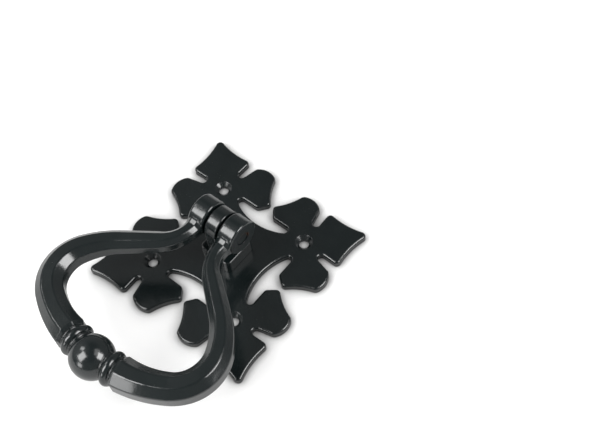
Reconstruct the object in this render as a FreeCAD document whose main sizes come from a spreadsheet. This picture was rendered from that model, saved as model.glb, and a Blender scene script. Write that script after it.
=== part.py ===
import FreeCAD, Part
import math
import os
import Sketcher

# Ring gate latch handle: a petal-shaped back plate, a swivel hub that turns in it on the spindle
# axis, and a pear-shaped ring hinged on a pin across the hub. Plate back on z = 0, spindle axis on Z,
# hinge pin along X, ring laid out towards -Y and level with the plate.

Vector = FreeCAD.Vector
doc = FreeCAD.newDocument("ring_gate_latch")

# Driving sizes in millimetres, angles in degrees
SIZES = {
    # back plate
    "plate_thick": 3.5,
    "plate_edge_round": 1.2,
    "screw_pitch": 53.0,
    "screw_hole": 5.0,
    "screw_sink": 8.6,
    # petals, measured from the screw hole that they stand round
    "waist_depth": 5.7,
    "petal_gap": 1.4,
    "slit_round": 1.85,
    "inner_slit_back": 12.6,
    "inner_slit_drop": 0.3,
    "lobe_heel": 4.3,
    "lobe_nose_rise": 7.1,
    "lobe_crest_back": 17.4,
    "lobe_crest_rise": 20.9,
    "lobe_crest_curve": 9.4,
    "lobe_hollow_curve": 32.0,
    "lobe_shoulder_back": 5.5,
    "lobe_shoulder_rise": 19.7,
    "outer_slit_back": 1.9,
    "outer_slit_rise": 12.5,
    "petal_corner_back": 0.3,
    "petal_corner_rise": 21.4,
    "petal_tip_reach": 23.7,
    "petal_hollow_curve": 40.0,
    "lobe_round": 2.6,
    "petal_round": 2.2,
    # swivel hub
    "hub_width": 18.4,
    "hub_height": 8.2,
    "hub_corner": 2.6,
    "hub_edge": 0.7,
    "turn_gap": 0.15,
    "shank_diameter": 14.0,
    "shank_gap": 0.1,
    "flare_diameter": 18.0,
    "flare_depth": 1.6,
    "flare_gap": 0.3,
    "back_gap": 0.2,
    "spindle_socket": 8.3,
    "socket_depth": 10.2,
    "tongue_thick": 6.8,
    "tongue_edge": 0.7,
    "knuckle_radius": 8.4,
    # hinge
    "hinge_height": 29.0,
    "barrel_radius": 9.0,
    "eye_gap": 1.1,
    "eye_width": 9.0,
    "eye_edge": 1.2,
    "pin_diameter": 7.0,
    "pin_press_gap": 0.02,
    "pin_run_gap": 0.06,
    "pin_recess": 0.4,
    "pin_dome": 0.5,
    # ring bar
    "bar_root": 8.2,
    "bar_arm": 9.1,
    "bar_shoulder": 10.2,
    "bar_side": 12.0,
    "bar_belly": 12.8,
    "bar_bow": 13.0,
    "bar_end": 15.0,
    "bar_tall": 1.08,
    "bar_edge_round": 1.2,
    "root_start": 3.0,
    "root_stop": 8.0,
    "root_straight": 10.0,
    "stop_height": 10.8,
    "stop_width": 8.6,
    "end_stop_length": 1.6,
    "end_stop_width": 13.4,
    "root_curve": 18.35,
    "shoulder_curve": 45.0,
    "side_start": 29.5,
    "side_curve": 18.8,
    "ring_half_width": 45.4,
    "bow_curve": 52.0,
    "bar_end_out": 15.8,
    # turned grip at the foot of the ring
    "ring_drop": 84.4,
    "ball_radius": 10.3,
    "collar_tilt": 7.7,
    "collar_root": 5.0,
    "collar_start": 7.9,
    "ring_bead": 1.1,
    "ring_bead_bulge": 0.5,
    "neck_radius": 6.5,
    "main_bead": 4.2,
    "main_bead_bulge": 1.7,
    "neck_tail": 1.0,
    # grub screw
    "grub_diameter": 5.0,
    "grub_gap": 0.03,
    "grub_length": 4.6,
    "grub_recess": 0.4,
    "grub_key": 2.5,
    "grub_key_depth": 2.2,
    "grub_tip": 0.7,
}

sheet = doc.addObject("Spreadsheet::Sheet", "Sizes")
for row, (alias, size) in enumerate(SIZES.items(), start=1):
    sheet.set(f"A{row}", alias)
    sheet.set(f"B{row}", str(size))
    sheet.setAlias(f"B{row}", alias)
doc.recompute()

START, END, CENTRE = range(1, 4)
ACROSS_AXIS, UP_AXIS = range(-1, -3, -1)
ORIGIN = (ACROSS_AXIS, START)


def number(expression):
    """The value that an expression on the sheet has now."""
    return float(sheet.evalExpression(expression))


def sub_part(name):
    body = doc.addObject("PartDesign::Body", name)
    body.Label = name
    return body


def plane_of(body, role):
    return next(feature for feature in body.Origin.OriginFeatures if feature.Role == role)


class Profile:
    """A sketch on one of its body's own planes, with every size bound to the sheet."""

    def __init__(self, body, name, plane, offset="0"):
        self.sketch = body.newObject("Sketcher::SketchObject", name)
        self.sketch.AttachmentSupport = [(plane_of(body, plane), "")]
        self.sketch.MapMode = "FlatFace"
        self.named = 0
        self.sketch.setExpression("AttachmentOffset.Base.z", offset)

    def line(self, start, end, construction=False):
        return self.sketch.addGeometry(Part.LineSegment(Vector(*start), Vector(*end)), construction)

    def arc(self, centre, radius, first, last):
        """An arc that runs anticlockwise between two directions in degrees."""
        circle = Part.Circle(Vector(*centre), Vector(0, 0, 1), radius)
        return self.sketch.addGeometry(Part.ArcOfCircle(circle, math.radians(first), math.radians(last)))

    def circle(self, across, up, radius):
        hole = Part.Circle(Vector(number(across), number(up)), Vector(0, 0, 1), number(radius))
        geometry = self.sketch.addGeometry(hole)
        self.place(geometry, CENTRE, across, up)
        self.radius(geometry, radius)

    def fix(self, kind, *parts):
        return self.sketch.addConstraint(Sketcher.Constraint(kind, *parts))

    def size(self, kind, *parts):
        """A dimension whose last part is an expression on the sheet."""
        *where, expression = parts
        index = self.fix(kind, *where, number(expression))
        self.named += 1
        self.sketch.renameConstraint(index, f"size_{self.named}")
        self.sketch.setExpression(f"Constraints.size_{self.named}", expression)

    def across(self, geometry, point, expression):
        if number(expression) == 0:
            self.fix("PointOnObject", geometry, point, UP_AXIS)
        else:
            self.size("DistanceX", *ORIGIN, geometry, point, expression)

    def up(self, geometry, point, expression):
        if number(expression) == 0:
            self.fix("PointOnObject", geometry, point, ACROSS_AXIS)
        else:
            self.size("DistanceY", *ORIGIN, geometry, point, expression)

    def place(self, geometry, point, across, up):
        self.across(geometry, point, across)
        self.up(geometry, point, up)

    def radius(self, geometry, expression):
        self.size("Radius", geometry, expression)

    def join(self, first, first_end, second, second_end):
        self.fix("Coincident", first, first_end, second, second_end)

    def smooth(self, first, first_end, second, second_end):
        self.fix("Tangent", first, first_end, second, second_end)

    def polygon(self, corners):
        """A closed loop of straight sides through corners given as pairs of expressions."""
        spots = [(number(across), number(up)) for across, up in corners]
        sides = [self.line(spot, spots[(i + 1) % len(spots)]) for i, spot in enumerate(spots)]
        for i, side in enumerate(sides):
            self.join(side, END, sides[(i + 1) % len(sides)], START)
            self.place(side, START, *corners[i])


def pad(body, profile, name, length, **settings):
    feature = body.newObject("PartDesign::Pad", name)
    feature.Profile = profile.sketch
    for key, setting in settings.items():
        setattr(feature, key, setting)
    feature.setExpression("Length", length)
    doc.recompute()
    return feature


def cut(body, profile, name, length=None, **settings):
    """A pocket that has to take something away."""
    before = body.Shape.Volume
    feature = body.newObject("PartDesign::Pocket", name)
    feature.Profile = profile.sketch
    for key, setting in settings.items():
        setattr(feature, key, setting)
    if length:
        feature.setExpression("Length", length)
    doc.recompute()
    if body.Shape.Volume > before - 0.01:
        raise RuntimeError(name + " cut nothing")
    return feature


def revolve(body, profile, name, kind="Revolution"):
    """A turned form about the profile's one construction line."""
    before = body.Shape.Volume if kind == "Groove" else 0
    feature = body.newObject("PartDesign::" + kind, name)
    feature.Profile = profile.sketch
    feature.ReferenceAxis = (profile.sketch, ["Axis0"])
    feature.Angle = 360
    doc.recompute()
    if kind == "Groove" and body.Shape.Volume > before - 0.01:
        raise RuntimeError(name + " cut nothing")
    return feature


def round_edges(body, name, radius, chosen, kind="Fillet", measure="Radius"):
    """A fillet, or a chamfer, on the edges of the body's last feature that a test picks out."""
    base = body.Tip
    edges = [f"Edge{i}" for i, edge in enumerate(base.Shape.Edges, start=1) if chosen(edge)]
    if not edges:
        raise RuntimeError(name + " found no edges")
    feature = body.newObject("PartDesign::" + kind, name)
    feature.Base = (base, edges)
    feature.setExpression(measure, radius)
    doc.recompute()
    return feature


def is_upright(edge):
    first, last = edge.firstVertex().Point, edge.lastVertex().Point
    return (last - first).cross(Vector(0, 0, 1)).Length < 1e-6 and abs(last.z - first.z) > 1e-3


def lies_at(edge, axis, level):
    box = edge.BoundBox
    sides = {"x": (box.XMin, box.XMax), "y": (box.YMin, box.YMax), "z": (box.ZMin, box.ZMax)}
    low, high = sides[axis]
    return abs(low - level) < 1e-4 and abs(high - level) < 1e-4


# Back plate: one casting, four rosettes of petals round the screw holes, joined at the waist
plate = sub_part("back_plate")
HOLE = "Sizes.screw_pitch / 2"
WAIST = f"{HOLE} - Sizes.waist_depth"
INNER_SLIT = (f"{HOLE} - Sizes.inner_slit_back", f"{HOLE} - Sizes.inner_slit_drop")
HEEL = "Sizes.petal_gap / 2 + Sizes.lobe_heel"
NOSE = ("Sizes.petal_gap / 2", f"{HOLE} + Sizes.lobe_nose_rise")
CREST = (f"{HOLE} - Sizes.lobe_crest_back", f"{HOLE} + Sizes.lobe_crest_rise")
SHOULDER = (f"{HOLE} - Sizes.lobe_shoulder_back", f"{HOLE} + Sizes.lobe_shoulder_rise")
OUTER_SLIT = (f"{HOLE} - Sizes.outer_slit_back", f"{HOLE} + Sizes.outer_slit_rise")
CORNER = (f"{HOLE} - Sizes.petal_corner_back", f"{HOLE} + Sizes.petal_corner_rise")
TIP = (f"{HOLE} + Sizes.petal_tip_reach", f"{HOLE} + Sizes.petal_tip_reach")


def spot(pair):
    return Vector(number(pair[0]), number(pair[1]))


def bulge(start, end, radius, side):
    """Centre and end directions of an arc of a given radius; side 1 puts its centre to the left."""
    chord = end - start
    reach = math.sqrt(radius ** 2 - (chord.Length / 2) ** 2)
    left = Vector(-chord.y, chord.x).normalize()
    centre = (start + end) / 2 + left * reach * side
    angles = [math.degrees(math.atan2(p.y - centre.y, p.x - centre.x)) for p in (start, end)]
    return centre, angles


def draw_petals():
    """One eighth of the plate's outline, from the waist round the side lobe to the petal's tip."""
    outline = Profile(plate, "petal_outline", "XY_Plane")
    slit = number("Sizes.slit_round")
    waist = Vector(0, number(WAIST))
    inner, outer = spot(INNER_SLIT), spot(OUTER_SLIT)
    heel = Vector(number(HEEL), inner.y + slit)
    nose, crest, shoulder = spot(NOSE), spot(CREST), spot(SHOULDER)
    corner, tip = spot(CORNER), spot(TIP)
    # the waist's hollow edge runs smoothly into the round end of the inner slit
    lift = waist.y + slit
    waist_top = (lift ** 2 - inner.x ** 2 - inner.y ** 2) / (2 * (lift - inner.y))
    lean = math.degrees(math.atan2(inner.y - waist_top, inner.x))
    hollow = outline.arc((0, waist_top), waist_top - waist.y, -90, lean)
    inner_end = outline.arc(inner[:2], slit, lean, 90)
    heel_edge = outline.line((inner.x, inner.y + slit), heel[:2])
    nose_edge = outline.line(heel[:2], nose[:2])
    centre, (first, last) = bulge(nose, crest, number("Sizes.lobe_hollow_curve"), 1)
    crest_edge = outline.arc(centre[:2], number("Sizes.lobe_hollow_curve"), first, last)
    centre, (first, last) = bulge(crest, shoulder, number("Sizes.lobe_crest_curve"), -1)
    crest_arc = outline.arc(centre[:2], number("Sizes.lobe_crest_curve"), last, first)
    left, right = outer - Vector(slit, 0), outer + Vector(slit, 0)
    shoulder_edge = outline.line(shoulder[:2], left[:2])
    outer_end = outline.arc(outer[:2], slit, 180, 360)
    corner_edge = outline.line(right[:2], corner[:2])
    centre, (first, last) = bulge(corner, tip, number("Sizes.petal_hollow_curve"), 1)
    petal_edge = outline.arc(centre[:2], number("Sizes.petal_hollow_curve"), first, last)
    diagonal = outline.line(tip[:2], (0, 0))
    spine = outline.line((0, 0), waist[:2])
    outline.join(spine, END, hollow, START)
    outline.smooth(hollow, END, inner_end, START)
    outline.smooth(inner_end, END, heel_edge, START)
    outline.join(heel_edge, END, nose_edge, START)
    outline.join(nose_edge, END, crest_edge, START)
    outline.join(crest_edge, END, crest_arc, END)
    outline.join(crest_arc, START, shoulder_edge, START)
    outline.smooth(shoulder_edge, END, outer_end, START)
    outline.smooth(outer_end, END, corner_edge, START)
    outline.join(corner_edge, END, petal_edge, START)
    outline.join(petal_edge, END, diagonal, START)
    outline.join(diagonal, END, spine, START)
    outline.fix("Coincident", diagonal, END, *ORIGIN)
    outline.place(hollow, START, "0", WAIST)
    outline.across(hollow, CENTRE, "0")
    outline.place(inner_end, CENTRE, *INNER_SLIT)
    outline.radius(inner_end, "Sizes.slit_round")
    outline.fix("Horizontal", heel_edge)
    outline.across(nose_edge, START, HEEL)
    outline.place(crest_edge, START, *NOSE)
    outline.radius(crest_edge, "Sizes.lobe_hollow_curve")
    outline.place(crest_arc, END, *CREST)
    outline.place(crest_arc, START, *SHOULDER)
    outline.radius(crest_arc, "Sizes.lobe_crest_curve")
    outline.place(outer_end, CENTRE, *OUTER_SLIT)
    outline.radius(outer_end, "Sizes.slit_round")
    outline.place(petal_edge, START, *CORNER)
    outline.place(petal_edge, END, *TIP)
    outline.radius(petal_edge, "Sizes.petal_hollow_curve")
    doc.recompute()
    return outline


def at_eighths(*spots):
    """A test for the upright edges that stand at these spots in any eighth of the plate."""
    wanted = [sorted((round(abs(p.x), 3), round(abs(p.y), 3))) for p in spots]

    def chosen(edge):
        foot = edge.firstVertex().Point
        here = sorted((round(abs(foot.x), 3), round(abs(foot.y), 3)))
        return is_upright(edge) and any(math.dist(here, want) < 0.01 for want in wanted)

    return chosen


pad(plate, draw_petals(), "eighth", "Sizes.plate_thick")
mirror = plate.newObject("PartDesign::Mirrored", "quarter")
mirror.TransformMode = "Whole shape"
mirror.MirrorPlane = (plane_of(plate, "YZ_Plane"), [""])
plate.Tip = mirror
doc.recompute()
rosettes = plate.newObject("PartDesign::PolarPattern", "rosettes")
rosettes.TransformMode = "Whole shape"
rosettes.Axis = (plane_of(plate, "Z_Axis"), [""])
rosettes.Angle = 360
rosettes.Occurrences = 4
plate.Tip = rosettes
doc.recompute()
heel_spot = Vector(number(HEEL), number(f"{INNER_SLIT[1]} + Sizes.slit_round"))
round_edges(plate, "lobe_rounding", "Sizes.lobe_round", at_eighths(heel_spot, spot(CREST), spot(SHOULDER)))
round_edges(plate, "petal_rounding", "Sizes.petal_round", at_eighths(spot(NOSE), spot(CORNER), spot(TIP)))
plate_top = number("Sizes.plate_thick")
round_edges(plate, "edge_rounding", "Sizes.plate_edge_round", lambda edge: lies_at(edge, "z", plate_top))

# Countersunk screw holes, one at the middle of each rosette
sink = Profile(plate, "screw_sink_section", "XZ_Plane", f"-({HOLE})")
sink.polygon([
    (HOLE, "-Sizes.plate_thick"),
    (f"{HOLE} + Sizes.screw_hole / 2", "-Sizes.plate_thick"),
    (f"{HOLE} + Sizes.screw_hole / 2", "Sizes.plate_thick - (Sizes.screw_sink - Sizes.screw_hole) / 2"),
    (f"{HOLE} + Sizes.screw_sink / 2", "Sizes.plate_thick"),
    (f"{HOLE} + Sizes.screw_sink / 2", "Sizes.plate_thick * 2"),
    (HOLE, "Sizes.plate_thick * 2"),
])
sink_axis = sink.line((number(HOLE), -number("Sizes.plate_thick")), (number(HOLE), plate_top), True)
sink.place(sink_axis, START, HOLE, "-Sizes.plate_thick")
sink.place(sink_axis, END, HOLE, "Sizes.plate_thick")
screw_hole = revolve(plate, sink, "screw_hole", "Groove")
screw_holes = plate.newObject("PartDesign::PolarPattern", "screw_holes")
screw_holes.Originals = [screw_hole]
screw_holes.Axis = (plane_of(plate, "Z_Axis"), [""])
screw_holes.Angle = 360
screw_holes.Occurrences = 4
plate.Tip = screw_holes
doc.recompute()

# Bore for the hub's shank, opened to a cone at the back where the shank is peened over
SHANK = "Sizes.shank_diameter / 2"
FLARE = "Sizes.flare_diameter / 2"
FLARE_LEAN = f"({FLARE} - {SHANK}) / Sizes.flare_depth"
SEAT_MOUTH = f"{FLARE} + Sizes.flare_gap + Sizes.back_gap * {FLARE_LEAN}"
SEAT_TOP = f"Sizes.back_gap + Sizes.flare_depth + (Sizes.flare_gap - Sizes.shank_gap) / ({FLARE_LEAN})"
bore = Profile(plate, "shank_bore_section", "XZ_Plane")
bore.polygon([
    ("0", "-Sizes.plate_thick"),
    (SEAT_MOUTH, "-Sizes.plate_thick"),
    (SEAT_MOUTH, "0"),
    (f"{SHANK} + Sizes.shank_gap", SEAT_TOP),
    (f"{SHANK} + Sizes.shank_gap", "Sizes.plate_thick * 2"),
    ("0", "Sizes.plate_thick * 2"),
])
bore_axis = bore.line((0, -plate_top), (0, plate_top), True)
bore.place(bore_axis, START, "0", "-Sizes.plate_thick")
bore.place(bore_axis, END, "0", "Sizes.plate_thick")
revolve(plate, bore, "shank_bore", "Groove")

# Swivel hub: square block on the plate, tongue up to the hinge, shank down through the plate
hub = sub_part("swivel_hub")
HUB_FOOT = "Sizes.plate_thick + Sizes.turn_gap"
HUB_TOP = f"{HUB_FOOT} + Sizes.hub_height"
HUB_HALF = "Sizes.hub_width / 2"
HINGE = "Sizes.hinge_height"


def square(half):
    """The corners of a square about the spindle axis."""
    return [(f"{x} * {half}", f"{y} * {half}") for x, y in ((-1, -1), (1, -1), (1, 1), (-1, 1))]


block = Profile(hub, "block_outline", "XY_Plane", HUB_FOOT)
block.polygon(square(HUB_HALF))
pad(hub, block, "block", "Sizes.hub_height")
round_edges(hub, "block_corners", "Sizes.hub_corner", is_upright)
hub_top = number(HUB_TOP)
round_edges(hub, "block_edge", "Sizes.hub_edge", lambda edge: lies_at(edge, "z", hub_top))

tongue = Profile(hub, "tongue_outline", "YZ_Plane")
knuckle, hinge_z, tongue_foot = number("Sizes.knuckle_radius"), number(HINGE), number(HUB_FOOT)
left_side = tongue.line((-knuckle, tongue_foot), (-knuckle, hinge_z))
crown = tongue.arc((0, hinge_z), knuckle, 0, 180)
right_side = tongue.line((knuckle, hinge_z), (knuckle, tongue_foot))
foot = tongue.line((knuckle, tongue_foot), (-knuckle, tongue_foot))
tongue.smooth(left_side, END, crown, END)
tongue.smooth(right_side, START, crown, START)
tongue.join(right_side, END, foot, START)
tongue.join(foot, END, left_side, START)
tongue.fix("Vertical", left_side)
tongue.fix("Horizontal", foot)
tongue.place(crown, CENTRE, "0", HINGE)
tongue.radius(crown, "Sizes.knuckle_radius")
tongue.up(left_side, START, HUB_FOOT)
pad(hub, tongue, "tongue", "Sizes.tongue_thick", SideType="Symmetric")
tongue_half = number("Sizes.tongue_thick / 2")


def rims_tongue(edge):
    on_side = lies_at(edge, "x", tongue_half) or lies_at(edge, "x", -tongue_half)
    return on_side and edge.BoundBox.ZMax > hinge_z - 0.01


round_edges(hub, "tongue_edge", "Sizes.tongue_edge", rims_tongue)

shank = Profile(hub, "shank_section", "XZ_Plane")
shank.polygon([
    ("0", HUB_TOP),
    (SHANK, HUB_TOP),
    (SHANK, "Sizes.back_gap + Sizes.flare_depth"),
    (FLARE, "Sizes.back_gap"),
    ("0", "Sizes.back_gap"),
])
shank_axis = shank.line((0, 0), (0, hub_top), True)
shank.fix("Coincident", shank_axis, START, *ORIGIN)
shank.place(shank_axis, END, "0", HUB_TOP)
revolve(hub, shank, "shank")

pin_bore = Profile(hub, "pin_bore_outline", "YZ_Plane")
pin_bore.circle("0", HINGE, "Sizes.pin_diameter / 2 + Sizes.pin_run_gap")
cut(hub, pin_bore, "pin_bore", "Sizes.tongue_thick * 2", SideType="Symmetric")

SOCKET = "Sizes.spindle_socket / 2"
socket = Profile(hub, "socket_outline", "XY_Plane")
socket.polygon(square(SOCKET))
cut(hub, socket, "spindle_socket", "Sizes.socket_depth", Reversed=True)

GRUB = f"{HUB_FOOT} + Sizes.hub_height / 2"
grub_bore = Profile(hub, "grub_bore_outline", "XZ_Plane")
grub_bore.circle("0", GRUB, "Sizes.grub_diameter / 2 + Sizes.grub_gap")
cut(hub, grub_bore, "grub_bore", "Sizes.hub_width", Reversed=True)

# Ring handle: one casting of two hinge eyes, two tapering eight-sided bars and a turned grip
ring = sub_part("ring_handle")
EYE_IN = "Sizes.tongue_thick / 2 + Sizes.eye_gap"
EYE_OUT = f"{EYE_IN} + Sizes.eye_width"
EYE_MID = f"{EYE_IN} + Sizes.eye_width / 2"
eye = Profile(ring, "eye_outline", "YZ_Plane", EYE_IN)
eye.circle("0", HINGE, "Sizes.barrel_radius")
pad(ring, eye, "eye", "Sizes.eye_width")
round_edges(ring, "eye_edge", "Sizes.eye_edge", lambda edge: edge.Curve.TypeId == "Part::GeomCircle")
SIDE_X = "Sizes.ring_half_width - Sizes.side_curve"


def on_grip(out):
    """A point on the collar's axis, which rises at a tilt from the middle of the ball."""
    tilt = "Sizes.collar_tilt * 1 deg"
    return f"({out}) * cos({tilt})", f"({out}) * sin({tilt}) - Sizes.ring_drop"


def draw_centre_line():
    """Half of the ring's centre line: root, shoulder, side and bow, each tangent to the next."""
    path = Profile(ring, "bar_centre_line", "XY_Plane", HINGE)
    eye_mid, root_r = number(EYE_MID), number("Sizes.root_curve")
    root_top, root_end = -number("Sizes.root_start"), -number("Sizes.root_straight")
    shoulder_r, side_r = number("Sizes.shoulder_curve"), number("Sizes.side_curve")
    bow_r, side_x = number("Sizes.bow_curve"), number(SIDE_X)
    end_at, tip_at = on_grip("Sizes.bar_end_out"), on_grip("Sizes.bar_end_out - Sizes.end_stop_length")
    bow_end = Vector(*(number(at) for at in end_at))
    tilt = math.radians(number("Sizes.collar_tilt"))
    bow_centre = bow_end + Vector(-math.sin(tilt), math.cos(tilt)) * bow_r
    side_out = side_x - bow_centre.x
    side_centre = Vector(side_x, bow_centre.y - math.sqrt((bow_r - side_r) ** 2 - side_out ** 2))
    side_start = number("Sizes.side_start")
    lean = math.radians(side_start)
    shoulder_centre = side_centre - Vector(math.cos(lean), math.sin(lean)) * (shoulder_r - side_r)
    root_centre = Vector(eye_mid + root_r, root_end)
    # the arm is the straight line that touches both the bend and the shoulder
    span = shoulder_centre - root_centre
    slope = math.atan2(span.y, span.x) + math.acos(-(root_r + shoulder_r) / span.Length)
    normal = Vector(math.cos(slope), math.sin(slope))
    shoulder_top = shoulder_centre + normal * shoulder_r
    root_foot = root_centre - normal * root_r
    slope = math.degrees(slope)
    down = math.degrees(math.atan2(side_centre.y - bow_centre.y, side_out))
    root = path.line((eye_mid, root_top), (eye_mid, root_end))
    root_arc = path.arc(root_centre[:2], root_r, 180, 180 + slope)
    arm = path.line(root_foot[:2], shoulder_top[:2])
    shoulder_arc = path.arc(shoulder_centre[:2], shoulder_r, side_start, slope)
    side_arc = path.arc(side_centre[:2], side_r, down, side_start)
    bow_arc = path.arc(bow_centre[:2], bow_r, number("Sizes.collar_tilt") - 90, down)
    end_line = path.line(bow_end[:2], [number(at) for at in tip_at])
    path.smooth(root, END, root_arc, START)
    path.smooth(root_arc, END, arm, START)
    path.smooth(arm, END, shoulder_arc, END)
    path.smooth(shoulder_arc, START, side_arc, END)
    path.smooth(side_arc, START, bow_arc, END)
    path.smooth(bow_arc, START, end_line, START)
    path.place(root, START, EYE_MID, "-Sizes.root_start")
    path.fix("Vertical", root)
    path.up(root, END, "-Sizes.root_straight")
    path.radius(root_arc, "Sizes.root_curve")
    path.radius(shoulder_arc, "Sizes.shoulder_curve")
    path.radius(side_arc, "Sizes.side_curve")
    path.radius(bow_arc, "Sizes.bow_curve")
    path.across(side_arc, CENTRE, SIDE_X)
    path.across(side_arc, END, f"{SIDE_X} + Sizes.side_curve * cos(Sizes.side_start * 1 deg)")
    path.place(end_line, START, *end_at)
    path.place(end_line, END, *tip_at)
    doc.recompute()
    return path


def eight_sides(section, width, height=None):
    """Eight sides with rounded corners and a flat on top, about the sketch's origin."""
    half = f"{width} / 2"
    rise = f"{height} / 2" if height else f"{width} * Sizes.bar_tall / 2"
    slant = f"{width} / (2 + sqrt(2))"
    short, low = f"({half} - {slant})", f"({rise} - {slant})"
    corners = [
        (half, f"-{low}"), (half, low), (short, rise), (f"-{short}", rise),
        (f"-{half}", low), (f"-{half}", f"-{low}"), (f"-{short}", f"-{rise}"), (short, f"-{rise}"),
    ]
    trim, curve = "Sizes.bar_edge_round * tan(22.5 deg)", number("Sizes.bar_edge_round")
    sides, arcs = [], []
    for i, (first, last) in enumerate(zip(corners, corners[1:] + corners[:1])):
        way = 90 + 45 * i
        step = (f"{trim} * cos({way} deg)", f"{trim} * sin({way} deg)")
        start = [f"{at} + {move}" for at, move in zip(first, step)]
        end = [f"{at} - {move}" for at, move in zip(last, step)]
        side = section.line([number(at) for at in start], [number(at) for at in end])
        section.place(side, START, *start)
        section.place(side, END, *end)
        inward = math.radians(way + 90)
        middle = (number(end[0]) + curve * math.cos(inward), number(end[1]) + curve * math.sin(inward))
        sides.append(side)
        arcs.append(section.arc(middle, curve, way - 90, way - 45))
    for i, corner in enumerate(arcs):
        section.join(corner, START, sides[i], END)
        section.join(corner, END, sides[(i + 1) % len(sides)], START)
        section.radius(corner, "Sizes.bar_edge_round")
    doc.recompute()
    return section.sketch


def bar_section(name, edge, share, *sizes):
    """A section of the bar, square to the centre line at a share of one of its edges."""
    section = Profile(ring, name, "XY_Plane")
    section.sketch.AttachmentSupport = [(centre_line.sketch, edge)]
    section.sketch.MapMode = "NormalToEdge"
    section.sketch.setExpression("MapPathParameter", share)
    return eight_sides(section, *sizes)


def bar_length(name, edge, first, *others):
    """One length of the bar, along one edge of the centre line and through its sections."""
    length = ring.newObject("PartDesign::AdditivePipe", name)
    length.Profile = first
    length.Spine = (centre_line.sketch, [edge])
    length.Transformation = "Multisection"
    length.Sections = list(others)
    length.Mode = "Binormal"
    length.Binormal = Vector(0, 0, 1)
    doc.recompute()


def bar_stop(name, first, last):
    """A short straight-sided stop between two sections."""
    stop = ring.newObject("PartDesign::AdditiveLoft", name)
    stop.Profile = first
    stop.Sections = [last]
    stop.Ruled = True
    doc.recompute()


centre_line = draw_centre_line()
ROOT, ROOT_ARC, ARM, SHOULDER_ARC, SIDE_ARC, BOW_ARC, END_LINE = (f"Edge{i}" for i in range(1, 8))
STOP_SHARE = "(Sizes.root_stop - Sizes.root_start) / (Sizes.root_straight - Sizes.root_start)"
STOP = ("Sizes.stop_width", "Sizes.stop_height")
root_section = bar_section("root_section", ROOT, "0", *STOP)
stop_section = bar_section("stop_section", ROOT, STOP_SHARE, *STOP)
bend_section = bar_section("bend_section", ROOT, "1", "Sizes.bar_root")
arm_section = bar_section("arm_section", ARM, "0", "Sizes.bar_arm")
shoulder_section = bar_section("shoulder_section", ARM, "1", "Sizes.bar_shoulder")
side_section = bar_section("side_section", SIDE_ARC, "1", "Sizes.bar_side")
belly_section = bar_section("belly_section", SIDE_ARC, "0.5", "Sizes.bar_belly")
bow_section = bar_section("bow_section", SIDE_ARC, "0", "Sizes.bar_bow")
end_section = bar_section("end_section", END_LINE, "0", "Sizes.bar_end")
tip_section = bar_section("tip_section", END_LINE, "1", "Sizes.end_stop_width")
bar_stop("root", root_section, stop_section)
bar_stop("root_stop", stop_section, bend_section)
bar_length("bend", ROOT_ARC, bend_section, arm_section)
bar_length("arm", ARM, arm_section, shoulder_section)
bar_length("shoulder", SHOULDER_ARC, side_section, shoulder_section)
bar_length("side", SIDE_ARC, bow_section, belly_section, side_section)
bar_length("bow", BOW_ARC, end_section, bow_section)
bar_stop("end_stop", end_section, tip_section)


def draw_collar():
    """The turned collar, from inside the ball out into the bar, about its own axis."""
    collar = Profile(ring, "collar_section", "XY_Plane", HINGE)
    collar.sketch.setExpression("AttachmentOffset.Rotation.Angle", "Sizes.collar_tilt * 1 deg")
    collar.sketch.setExpression("AttachmentOffset.Base.y", "-Sizes.ring_drop")
    neck_level, root = "Sizes.neck_radius", "Sizes.collar_root"
    start = "Sizes.collar_start"
    first = f"{start} + Sizes.ring_bead"
    second = f"{first} + Sizes.main_bead"
    third = f"{second} + Sizes.ring_bead"
    tail = "Sizes.bar_end_out + Sizes.neck_tail"
    neck, root_x, tail_x = number(neck_level), number(root), number(tail)
    axis = collar.line((root_x, 0), (tail_x, 0), True)
    collar.place(axis, START, root, "0")
    collar.place(axis, END, tail, "0")
    middle = collar.line((tail_x, 0), (root_x, 0))
    root_side = collar.line((root_x, 0), (root_x, neck))
    inner_side = collar.line((root_x, neck), (number(start), neck))
    collar.join(middle, END, root_side, START)
    collar.join(root_side, END, inner_side, START)
    collar.place(middle, END, root, "0")
    collar.place(root_side, END, root, neck_level)
    last, last_end = inner_side, END
    beads = [(start, first, "ring_bead"), (first, second, "main_bead"), (second, third, "ring_bead")]
    for near, far, swell in beads:
        half = (number(far) - number(near)) / 2
        rise = number(f"Sizes.{swell}_bulge")
        curve = (half ** 2 + rise ** 2) / (2 * rise)
        spread = math.degrees(math.asin(min(1, half / curve)))
        mid = (number(near) + half, neck + rise - curve)
        bead = collar.arc(mid, curve, 90 - spread, 90 + spread)
        collar.join(last, last_end, bead, END)
        collar.place(bead, END, near, neck_level)
        chord = f"({far} - ({near}))"
        collar.radius(bead, f"({chord} ^ 2 / 4 + Sizes.{swell}_bulge ^ 2) / 2 / Sizes.{swell}_bulge")
        last, last_end = bead, START
    outer_side = collar.line((number(third), neck), (tail_x, neck))
    tail_side = collar.line((tail_x, neck), (tail_x, 0))
    collar.join(last, last_end, outer_side, START)
    collar.join(outer_side, END, tail_side, START)
    collar.join(tail_side, END, middle, START)
    collar.place(outer_side, START, third, neck_level)
    collar.place(outer_side, END, tail, neck_level)
    collar.place(tail_side, END, tail, "0")
    doc.recompute()
    return collar


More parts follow.
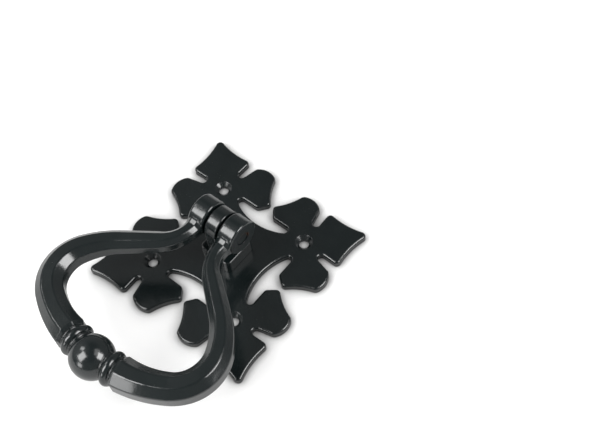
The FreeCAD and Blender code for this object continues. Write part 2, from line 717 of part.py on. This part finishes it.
def draw_ball():
    """A quarter of the ball's section, turned into the half of the ball on one side."""
    ball = Profile(ring, "ball_section", "XY_Plane", HINGE)
    base, radius = -number("Sizes.ring_drop"), number("Sizes.ball_radius")
    axis_y = "-Sizes.ring_drop"
    axis = ball.line((0, base), (radius, base), True)
    ball.place(axis, START, "0", axis_y)
    ball.place(axis, END, "Sizes.ball_radius", axis_y)
    along = ball.line((0, base), (radius, base))
    crown = ball.arc((0, base), radius, 0, 90)
    middle = ball.line((0, base + radius), (0, base))
    ball.join(along, END, crown, START)
    ball.join(crown, END, middle, START)
    ball.join(middle, END, along, START)
    ball.place(along, START, "0", axis_y)
    ball.place(along, END, "Sizes.ball_radius", axis_y)
    ball.place(middle, START, "0", f"{axis_y} + Sizes.ball_radius")
    ball.radius(crown, "Sizes.ball_radius")
    doc.recompute()
    return ball


revolve(ring, draw_collar(), "collar")
revolve(ring, draw_ball(), "ball")
other_half = ring.newObject("PartDesign::Mirrored", "other_half")
other_half.TransformMode = "Whole shape"
other_half.MirrorPlane = (plane_of(ring, "YZ_Plane"), [""])
ring.Tip = other_half
doc.recompute()
eye_bore = Profile(ring, "eye_bore_outline", "YZ_Plane")
eye_bore.circle("0", HINGE, "Sizes.pin_diameter / 2 + Sizes.pin_press_gap")
cut(ring, eye_bore, "eye_bore", f"({EYE_OUT}) * 3", SideType="Symmetric")

# Hinge pin: pressed into the eyes, free in the tongue, its ends a little below the eyes' faces
pin = sub_part("hinge_pin")
pin_outline = Profile(pin, "pin_outline", "YZ_Plane")
pin_outline.circle("0", HINGE, "Sizes.pin_diameter / 2")
pad(pin, pin_outline, "shaft", f"({EYE_OUT} - Sizes.pin_recess) * 2", SideType="Symmetric")
round_edges(pin, "pin_dome", "Sizes.pin_dome", lambda edge: edge.Curve.TypeId == "Part::GeomCircle")

# Grub screw: socket set screw in the block's ring side, tightened on the spindle
grub = sub_part("grub_screw")
GRUB_FACE = f"{HUB_HALF} - Sizes.grub_recess"
grub_outline = Profile(grub, "grub_outline", "XZ_Plane", f"{GRUB_FACE} - Sizes.grub_length")
grub_outline.circle("0", GRUB, "Sizes.grub_diameter / 2")
pad(grub, grub_outline, "shaft", "Sizes.grub_length")
grub_tip_y = number(f"Sizes.grub_length - ({GRUB_FACE})")
round_edges(grub, "tip", "Sizes.grub_tip", lambda edge: lies_at(edge, "y", grub_tip_y), "Chamfer", "Size")
key = Profile(grub, "key_outline", "XZ_Plane", GRUB_FACE)
KEY_CORNER = "Sizes.grub_key / 2 / cos(30 deg)"
key.polygon([
    (f"{KEY_CORNER} * cos({angle} deg)", f"{GRUB} + {KEY_CORNER} * sin({angle} deg)")
    for angle in range(0, 360, 60)
])
cut(grub, key, "key_socket", "Sizes.grub_key_depth")

# Every object has to be sound before anything is written
doc.recompute()
sub_parts = [plate, hub, ring, pin, grub]
for item in doc.Objects:
    if "Invalid" in item.State or "Error" in item.State:
        raise RuntimeError(f"{item.Name} failed: {item.State}")
for body in sub_parts:
    if body.Shape.isNull() or not body.Shape.isValid() or len(body.Shape.Solids) != 1:
        raise RuntimeError(body.Label + " is not one sound solid")

os.makedirs("parts", exist_ok=True)
for body in sub_parts:
    body.Shape.exportStep(f"parts/{body.Label}.step")
    box = body.Shape.BoundBox
    print(body.Label, round(body.Shape.Volume), [round(v, 2) for v in (
        box.XMin, box.XMax, box.YMin, box.YMax, box.ZMin, box.ZMax)])
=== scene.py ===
import math

import bpy
import bmesh
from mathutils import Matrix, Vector


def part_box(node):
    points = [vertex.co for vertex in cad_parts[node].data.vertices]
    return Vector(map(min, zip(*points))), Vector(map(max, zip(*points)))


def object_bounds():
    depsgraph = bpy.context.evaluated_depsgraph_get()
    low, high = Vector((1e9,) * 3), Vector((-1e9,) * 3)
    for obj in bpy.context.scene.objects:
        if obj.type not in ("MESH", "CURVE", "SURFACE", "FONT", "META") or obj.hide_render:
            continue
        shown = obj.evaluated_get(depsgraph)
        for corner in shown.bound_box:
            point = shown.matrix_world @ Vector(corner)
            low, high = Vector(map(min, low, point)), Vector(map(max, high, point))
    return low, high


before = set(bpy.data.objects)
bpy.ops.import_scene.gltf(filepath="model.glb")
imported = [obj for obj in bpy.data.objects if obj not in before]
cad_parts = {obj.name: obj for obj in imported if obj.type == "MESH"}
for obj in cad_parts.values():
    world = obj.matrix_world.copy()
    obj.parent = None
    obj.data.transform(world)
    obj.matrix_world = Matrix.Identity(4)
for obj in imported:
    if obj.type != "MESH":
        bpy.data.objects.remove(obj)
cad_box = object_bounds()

# Back plate: one thin iron casting, cut out to four rosettes of petals round the screw holes.
# It is sprayed with black powder and baked, and four countersunk screws hold it to the gate.
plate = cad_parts["back_plate"]


class Wire:
    """A shader socket that is worked with as a number."""

    def __init__(self, tree, socket):
        self.tree = tree
        self.socket = socket

    def node(self, kind, settings, sockets, output=0):
        """Any node: its settings first, then the values or links of its sockets."""
        made = self.tree.nodes.new("ShaderNode" + kind)
        for key, setting in settings.items():
            setattr(made, key, setting)
        for key, given in sockets.items():
            if isinstance(given, Wire):
                self.tree.links.new(given.socket, made.inputs[key])
            else:
                made.inputs[key].default_value = given
        return Wire(self.tree, made.outputs[output])

    def beside(self, output):
        """Another output of the node that this one comes out of."""
        return Wire(self.tree, self.socket.node.outputs[output])

    def maths(self, operation, first, second):
        return self.node("Math", {"operation": operation}, {0: first, 1: second})

    def __add__(self, other):
        return self.maths("ADD", self, other)

    def __radd__(self, other):
        return self.maths("ADD", other, self)

    def __sub__(self, other):
        return self.maths("SUBTRACT", self, other)

    def __rsub__(self, other):
        return self.maths("SUBTRACT", other, self)

    def __mul__(self, other):
        return self.maths("MULTIPLY", self, other)

    def __rmul__(self, other):
        return self.maths("MULTIPLY", other, self)

    def __pow__(self, other):
        return self.maths("POWER", self, other)

    def __abs__(self):
        return self.node("Math", {"operation": "ABSOLUTE"}, {0: self})

    def between(self, low, high):
        """0 below the low value, 1 above the high one, and smooth between them."""
        limits = {"Value": self, "From Min": low, "From Max": high}
        return self.node("MapRange", {"interpolation_type": "SMOOTHSTEP"}, limits)

    def dot(self, other):
        """How far this direction goes along another one."""
        return self.node("VectorMath", {"operation": "DOT_PRODUCT"}, {0: self, 1: other}, "Value")

    def blotches(self, scale, detail=3.0, roughness=0.55):
        """Soft blotches of 0 to 1 over the object, so many to the metre."""
        sizes = {"Vector": self, "Scale": scale, "Detail": detail, "Roughness": roughness}
        return self.node("TexNoise", {}, sizes)

    def spots(self, scale, rim):
        """Small round spots with a soft rim, 1 inside and 0 outside, so many to the metre."""
        cells = self.node("TexVoronoi", {}, {"Vector": self, "Scale": scale})
        return 1 - cells.between(*rim)

    def mix(self, first, second):
        """A colour that goes from the first, where this is 0, to the second, where it is 1."""
        # A Mix node has its two colours at sockets 6 and 7, and the mixed one at output 2.
        return self.node("Mix", {"data_type": "RGBA"}, {0: self, 6: first, 7: second}, 2)


class Finish:
    """A new material: its object coordinates, its shader, and the layers that make it up."""

    def __init__(self, name):
        self.material = bpy.data.materials.new(name)
        self.material.use_nodes = True
        self.tree = self.material.node_tree
        self.shader = self.tree.nodes["Principled BSDF"]
        self.start = Wire(self.tree, None)
        self.place = self.start.node("TexCoord", {}, {}, "Object")
        self.parts = self.start.node("SeparateXYZ", {}, {0: self.place})

    def axis(self, letter):
        return self.parts.beside(letter)

    def near_edge(self, reach, turn):
        """1 on the sharp edges and 0 on the flats, from how far the surface turns within reach."""
        turned = self.start.node("Bevel", {"samples": 6}, {"Radius": reach})
        plain = self.start.node("NewGeometry", {}, {}, "Normal")
        return (1 - turned.dot(plain)).between(*turn)

    def bump(self, height, distance, under=None):
        sockets = {"Height": height, "Distance": distance, "Strength": 1.0}
        if under:
            sockets["Normal"] = under
        return self.start.node("Bump", {}, sockets)

    def feed(self, **links):
        """Values or links for the shader's own sockets."""
        for name, given in links.items():
            socket = self.shader.inputs[name.replace("_", " ")]
            if isinstance(given, Wire):
                self.tree.links.new(given.socket, socket)
            else:
                socket.default_value = given

    def cover(self, shader):
        """Another shader on the surface, in place of the first one."""
        self.tree.links.new(shader.socket, self.tree.nodes["Material Output"].inputs["Surface"])

    def paint(self, piece):
        piece.data.materials.clear()
        piece.data.materials.append(self.material)


COAT_BLACK = (0.0038, 0.0067, 0.0073, 1.0)
COAT_GREY = (0.0074, 0.0115, 0.0118, 1.0)
WORN = (0.034, 0.032, 0.030, 1.0)
DUST = (0.10, 0.097, 0.088, 1.0)
RUST = (0.072, 0.030, 0.014, 1.0)

# How many blotches, specks or pits there are to the metre.
CLOUD_SCALE = 24.0
PIT_PATCH_SCALE = 33.0
WAVE_SCALE = 58.0
MOTTLE_SCALE = 95.0
PIT_SCALE = 130.0
CHIP_SCALE = 310.0
SPECK_SCALE = 520.0
PEEL_SCALE = 620.0

# Where a pattern starts and where it is full.
EDGE_TURN = (0.012, 0.12)
CHIPPED = (0.45, 0.72)
DUSTY = (0.52, 0.66)
SPECK_RIM = (0.05, 0.11)
PITTED = (0.50, 0.60)
PIT_RIM = (0.02, 0.10)

# Reaches and depths in metres.
EDGE_REACH = 0.0010
EDGE_FLOW = 0.00045
WAVE_DEPTH = 0.00026
PIT_DEPTH = 0.00007

# How much each layer shows in the colour or adds to the roughness.
WORN_SHARE = 0.30
MOTTLE_ROUGH = 0.10
CLOUD_ROUGH = 0.07
SPECK_ROUGH = 0.20
RUST_ROUGH = 0.4
MIDDLE = 0.5


def powder_coat(name, base_rough, peel, dust, rust=None, dull=None, black=COAT_BLACK, grey=COAT_GREY):
    """Baked black powder coat on iron: orange peel, a faint mottle, pits, worn edges and a little dust.

    rust and dull are functions that say where on the piece the coat is rusty, or thin and satin.
    """
    finish = Finish(name)
    place = finish.place
    mottle = place.blotches(MOTTLE_SCALE)
    cloud = place.blotches(CLOUD_SCALE, detail=2.0)
    worn = finish.near_edge(EDGE_REACH, EDGE_TURN) * place.blotches(CHIP_SCALE).between(*CHIPPED)
    specks = place.spots(SPECK_SCALE, SPECK_RIM) * cloud.between(*DUSTY)
    colour = mottle.mix(black, grey)
    colour = (worn * WORN_SHARE).mix(colour, WORN)
    colour = (specks * dust).mix(colour, DUST)
    uneven = MOTTLE_ROUGH * (mottle - MIDDLE) + CLOUD_ROUGH * (cloud - MIDDLE)
    rough = base_rough + uneven + SPECK_ROUGH * specks
    if rust:
        stain = rust(finish)
        colour = stain.mix(colour, RUST)
        rough = rough + RUST_ROUGH * stain
    flowed = finish.start.node("Bevel", {"samples": 8}, {"Radius": EDGE_FLOW})
    waves = finish.bump(place.blotches(WAVE_SCALE, detail=2.0), WAVE_DEPTH, flowed)
    peeled = finish.bump(place.blotches(PEEL_SCALE, detail=2.0, roughness=0.45), peel, waves)
    pits = place.spots(PIT_SCALE, PIT_RIM) * place.blotches(PIT_PATCH_SCALE).between(*PITTED)
    pitted = finish.bump(1 - pits, PIT_DEPTH, peeled)
    finish.feed(Base_Color=colour, Roughness=rough, Normal=pitted)
    finish.feed(IOR=1.65, Coat_Weight=0.20, Coat_Roughness=0.06, Coat_IOR=1.55)
    if dull:
        thin = {"Base Color": colour, "Roughness": 0.34, "IOR": 1.36, "Normal": pitted}
        satin = finish.start.node("BsdfPrincipled", {}, thin)
        glossy = Wire(finish.tree, finish.shader.outputs[0])
        finish.cover(finish.start.node("MixShader", {}, {0: dull(finish), 1: glossy, 2: satin}))
    return finish


powder_coat("plate_coat", base_rough=0.20, peel=0.000040, dust=0.22).paint(plate)

# Swivel hub: an iron casting that turns in the plate, a square block with a tongue up to the hinge.
# Its shank goes through the plate and is spread over at the back. It has the same black coat.
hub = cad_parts["swivel_hub"]
powder_coat("hub_coat", base_rough=0.18, peel=0.000036, dust=0.18).paint(hub)

# Grub screw: a small black steel set screw with a hexagon socket, in the block's side.
# It clamps the spindle. Its steel is oil blacked, not painted, and a little browner than the coat.
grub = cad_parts["grub_screw"]
STEEL_DARK = (0.030, 0.027, 0.025, 1.0)
STEEL_PALE = (0.055, 0.048, 0.042, 1.0)
GRAIN_SCALE = 900.0
GRAIN_DEPTH = 0.00003
GRAIN_ROUGH = 0.22
STEEL_ROUGH = 0.34
blacked = Finish("blacked_steel")
grain = blacked.place.blotches(GRAIN_SCALE)
blacked.feed(
    Base_Color=grain.mix(STEEL_DARK, STEEL_PALE),
    Roughness=STEEL_ROUGH + GRAIN_ROUGH * grain,
    Metallic=0.85,
    Normal=blacked.bump(grain, GRAIN_DEPTH),
)
blacked.paint(grub)

# Hinge pin: a plain steel pin pressed through both eyes of the ring, coated over with them.
# The coat has cracked round its ends, and a thin rim of rust has come through.
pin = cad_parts["hinge_pin"]
pin_low, pin_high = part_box("hinge_pin")
PIN_HEIGHT = (pin_low[2] + pin_high[2]) / 2
PIN_RADIUS = (pin_high[2] - pin_low[2]) / 2
PIN_END = pin_high[0]
FLAT_START = 0.00012
FLAT_FULL = 0.00004
RIM_OUTSIDE = (PIN_RADIUS, PIN_RADIUS + 0.0009)
RIM_INSIDE = (PIN_RADIUS - 0.0011, PIN_RADIUS - 0.0002)
RIM_UPPER = (0.0008, 0.0032)
WANDER_SCALE = 700.0
WANDER_OUTSIDE = 0.0012
WANDER_INSIDE = 0.0010
RUST_SCALE = 240.0
RUSTED = (0.36, 0.56)
RUST_SHARE = 0.8


def above_pin(finish):
    return finish.axis("Z") - PIN_HEIGHT


def from_pin_line(finish):
    """How far the surface is from the pin's middle line."""
    return (finish.axis("Y") ** 2 + above_pin(finish) ** 2) ** 0.5


def rusty_rim(finish):
    """Rust in a thin uneven ring where the pin's end meets the eye, on its upper side."""
    out = from_pin_line(finish)
    wander = finish.place.blotches(WANDER_SCALE) - MIDDLE
    outside = 1 - (out + WANDER_OUTSIDE * wander).between(*RIM_OUTSIDE)
    inside = (out + WANDER_INSIDE * wander).between(*RIM_INSIDE)
    upper = (finish.axis("Y") + above_pin(finish)).between(*RIM_UPPER)
    patches = finish.place.blotches(RUST_SCALE).between(*RUSTED)
    return outside * inside * upper * patches * RUST_SHARE


def pin_ends(finish):
    """The pin's flat ends, which hold only a thin satin coat."""
    return abs(finish.axis("X")).between(PIN_END - FLAT_START, PIN_END - FLAT_FULL)


powder_coat("pin_coat", base_rough=0.26, peel=0.000040, dust=0.15, rust=rusty_rim, dull=pin_ends).paint(pin)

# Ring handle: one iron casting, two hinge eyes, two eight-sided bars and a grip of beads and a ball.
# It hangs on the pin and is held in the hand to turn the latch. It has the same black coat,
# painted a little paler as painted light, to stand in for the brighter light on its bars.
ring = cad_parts["ring_handle"]
# Painted light: the ring's coat colours are paler than the plate's, to stand in for the light its bars
# catch.
RING_LIT_BLACK = (0.0052, 0.0086, 0.0093, 1.0)
RING_LIT_GREY = (0.0098, 0.0147, 0.0151, 1.0)
PIN_RECESS = 0.0004
EYE_END = PIN_END + PIN_RECESS
EYE_REACH = 0.0105
EYE_FADE = 0.001


def eye_ends(finish):
    """The ground end faces of the two eyes, and nothing further out on the bars."""
    flat = abs(finish.axis("X")).between(EYE_END - FLAT_START, EYE_END - FLAT_FULL)
    return flat * (1 - from_pin_line(finish).between(EYE_REACH - EYE_FADE, EYE_REACH))


powder_coat(
    "ring_coat", base_rough=0.18, peel=0.000036, dust=0.10, rust=rusty_rim, dull=eye_ends,
    black=RING_LIT_BLACK, grey=RING_LIT_GREY,
).paint(ring)

# Studio: a wide white paper floor that keeps the shadow, with painted shade in narrow gaps, and white far
# off.
# Pale walls stand low round it, under a darker ceiling. A large soft box lights each side, with a
# weaker one beside the right one and two small ones on the left.
FLOOR_LEVEL = -0.0003
FLOOR_HALF = 12.0
WHITE = (1.0, 1.0, 1.0, 1.0)
PAPER_WHITE = (0.66, 0.66, 0.655, 1.0)
# Painted shade: the paper is painted this grey where the plate or hub stands within this reach of it.
PAINTED_GAP_SHADE = (0.24, 0.24, 0.238, 1.0)
PAINTED_SHADE_REACH = 0.024
NEAR_GLOW = 0.55
FAR_GLOW = 0.45
FAR_OFF = (0.25, 1.2)
MIRROR_SHARE = 0.2
paper = bmesh.new()
bmesh.ops.create_grid(paper, x_segments=1, y_segments=1, size=FLOOR_HALF)
bmesh.ops.translate(paper, verts=paper.verts, vec=(0.0, 0.0, FLOOR_LEVEL))
floor = bpy.data.objects.new("floor", bpy.data.meshes.new("floor"))
paper.to_mesh(floor.data)
paper.free()
bpy.context.scene.collection.objects.link(floor)
white = Finish("white_floor")
seen = white.start.node("LightPath", {}, {}, "Is Camera Ray")
mirrored = seen.beside("Is Glossy Ray")
through = seen.beside("Is Transmission Ray")
# Painted shade: ambient occlusion makes the floor's colour and glow darker in gaps and holes near the
# plate.
unshaded = white.start.node("AmbientOcclusion", {"samples": 12}, {"Distance": PAINTED_SHADE_REACH}, "AO") ** 2
away = white.start.node("VectorMath", {"operation": "LENGTH"}, {0: white.place}, "Value")
level = unshaded * NEAR_GLOW + away.between(*FAR_OFF) * FAR_GLOW
strength = (seen + through + mirrored * MIRROR_SHARE) * level
glow = white.start.node("Emission", {}, {"Color": WHITE, "Strength": strength})
# Painted shade: the paper's colour goes from grey in the gaps to white in the open.
matt_with_shade = white.start.node("BsdfDiffuse", {}, {"Color": unshaded.mix(PAINTED_GAP_SHADE, PAPER_WHITE)})
white.cover(white.start.node("AddShader", {}, {0: matt_with_shade, 1: glow}))
white.paint(floor)

CEILING_LEVEL = 0.12
WALL_LEVEL = 0.12
WALL_TOP = (0.45, 0.80)
PALE_LEVEL = 0.15
PALE_WAY = (-0.60, -0.30, 0.74)
PALE_EDGE = (0.70, 0.88)
world = bpy.data.worlds.new("studio")
world.use_nodes = True
bpy.context.scene.world = world
ways = Wire(world.node_tree, None).node("TexCoord", {}, {}, "Generated")
walls = 1 - ways.node("SeparateXYZ", {}, {0: ways}, "Z").between(*WALL_TOP)
pale = ways.dot(PALE_WAY).between(*PALE_EDGE)
shade = CEILING_LEVEL + WALL_LEVEL * walls + PALE_LEVEL * pale
back = world.node_tree.nodes["Background"]
back.inputs["Color"].default_value = WHITE
world.node_tree.links.new(shade.socket, back.inputs["Strength"])

LAMP_AWAY = 1.0


def soft_box(name, way, width, depth, watts):
    """A soft box in this direction from the middle of the object, which it faces."""
    lamp = bpy.data.lights.new(name, "AREA")
    lamp.shape = "RECTANGLE"
    lamp.size = width
    lamp.size_y = depth
    lamp.energy = watts
    box = bpy.data.objects.new(name, lamp)
    bpy.context.scene.collection.objects.link(box)
    low, high = cad_box
    out = Vector(way).normalized() * LAMP_AWAY
    box.location = (Vector(low) + Vector(high)) / 2 + out
    box.rotation_euler = out.to_track_quat("Z", "Y").to_euler()


soft_box("left_soft_box", way=(-0.277, -0.613, 0.740), width=0.55, depth=0.66, watts=7.6)
soft_box("left_low_strip", way=(-0.115, -0.960, 0.250), width=0.34, depth=0.26, watts=1.20)
soft_box("left_edge_light", way=(-0.616, -0.160, 0.771), width=0.20, depth=0.30, watts=0.95)
soft_box("right_soft_box", way=(0.749, 0.274, 0.603), width=0.50, depth=0.42, watts=5.6)
soft_box("right_upper_half", way=(0.436, 0.344, 0.831), width=0.56, depth=0.44, watts=1.2)

# Camera: the photograph's view, from above and to the right of the ring.
# Its place, its turn in degrees and its lens were fitted to the plate in the photograph.
PHOTO_LENS = 54.0
PHOTO_SENSOR = 36.0
PHOTO_PLACE = (0.18275, -0.13731, 0.38376)
PHOTO_TURN = (31.918, 3.147, 38.826)
NEAREST = 0.01
lens = bpy.data.cameras.new("photo_view")
lens.lens = PHOTO_LENS
lens.sensor_width = PHOTO_SENSOR
lens.sensor_fit = "HORIZONTAL"
lens.clip_start = NEAREST
camera = bpy.data.objects.new("photo_view", lens)
camera.location = PHOTO_PLACE
camera.rotation_euler = [math.radians(turn) for turn in PHOTO_TURN]
bpy.context.scene.collection.objects.link(camera)
bpy.context.scene.camera = camera
bpy.context.scene.view_settings.view_transform = "Standard"
